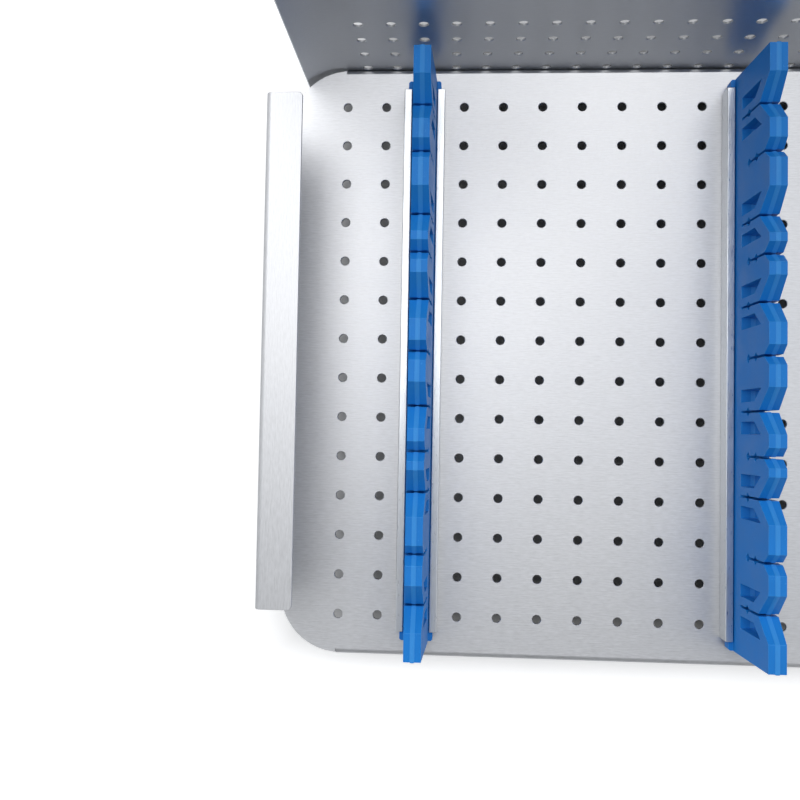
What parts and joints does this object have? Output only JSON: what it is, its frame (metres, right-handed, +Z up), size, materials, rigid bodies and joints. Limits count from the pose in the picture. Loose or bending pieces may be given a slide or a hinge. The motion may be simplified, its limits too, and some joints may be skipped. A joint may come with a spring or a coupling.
{
  "type": "sterilization container",
  "caption": "Perforated steel instrument tray with slotted blue silicone combs in rails, lifting lips, a perforated rear wall and a hinged lid with latches.",
  "frame": {"origin": "middle of the tray's footprint on the surface that it stands on", "axes": "+X along the tray's length, +Y towards the rear wall and the hinge, +Z up; the lid is stored open"},
  "size_m": [0.4676, 0.3626, 0.4628],
  "materials": {
    "tray_steel": "satin, grain along the length",
    "cover_steel": "satin",
    "rail_aluminium": "matt anodized",
    "comb_silicone": "matt",
    "fitting_steel": "satin"
  },
  "bodies": {
    "tray": {"tray_floor": "tray_steel", "tray_front_skirt": "tray_steel", "tray_rear_skirt": "tray_steel", "end_wall_left": "tray_steel", "end_wall_right": "tray_steel", "rail_left": "rail_aluminium", "rail_middle": "rail_aluminium", "rail_right": "rail_aluminium", "comb_left": "comb_silicone", "comb_middle": "comb_silicone", "comb_right": "comb_silicone", "back_wall": "cover_steel", "hinge_lower_leaf_left": "fitting_steel", "hinge_lower_leaf_right": "fitting_steel", "hinge_pins": "fitting_steel", "keeper_left": "fitting_steel", "keeper_right": "fitting_steel"},
    "lid": {"lid_panel": "cover_steel", "lid_front_skirt": "cover_steel", "lid_end_left": "cover_steel", "lid_end_right": "cover_steel", "hinge_upper_leaf_left": "fitting_steel", "hinge_upper_leaf_right": "fitting_steel", "latch_bracket_left": "fitting_steel", "latch_bracket_right": "fitting_steel", "latch_pins": "fitting_steel"},
    "latch_left": {"latch_hook_left": "fitting_steel"},
    "latch_right": {"latch_hook_right": "fitting_steel"}
  },
  "joints": [
    {"name": "lid_hinge", "type": "hinge", "parent": "tray", "child": "lid", "pos_m": [0, 0.1544, 0.1218], "axis": [1, 0, 0], "range_deg": [0, 100]},
    {"name": "latch_left_swing", "type": "hinge", "parent": "lid", "child": "latch_left", "pos_m": [-0.1, 0.11764, 0.44195], "axis": [1, 0, 0], "range_deg": [0, 50]},
    {"name": "latch_right_swing", "type": "hinge", "parent": "lid", "child": "latch_right", "pos_m": [0.1, 0.11764, 0.44195], "axis": [1, 0, 0], "range_deg": [0, 50]}
  ]
}
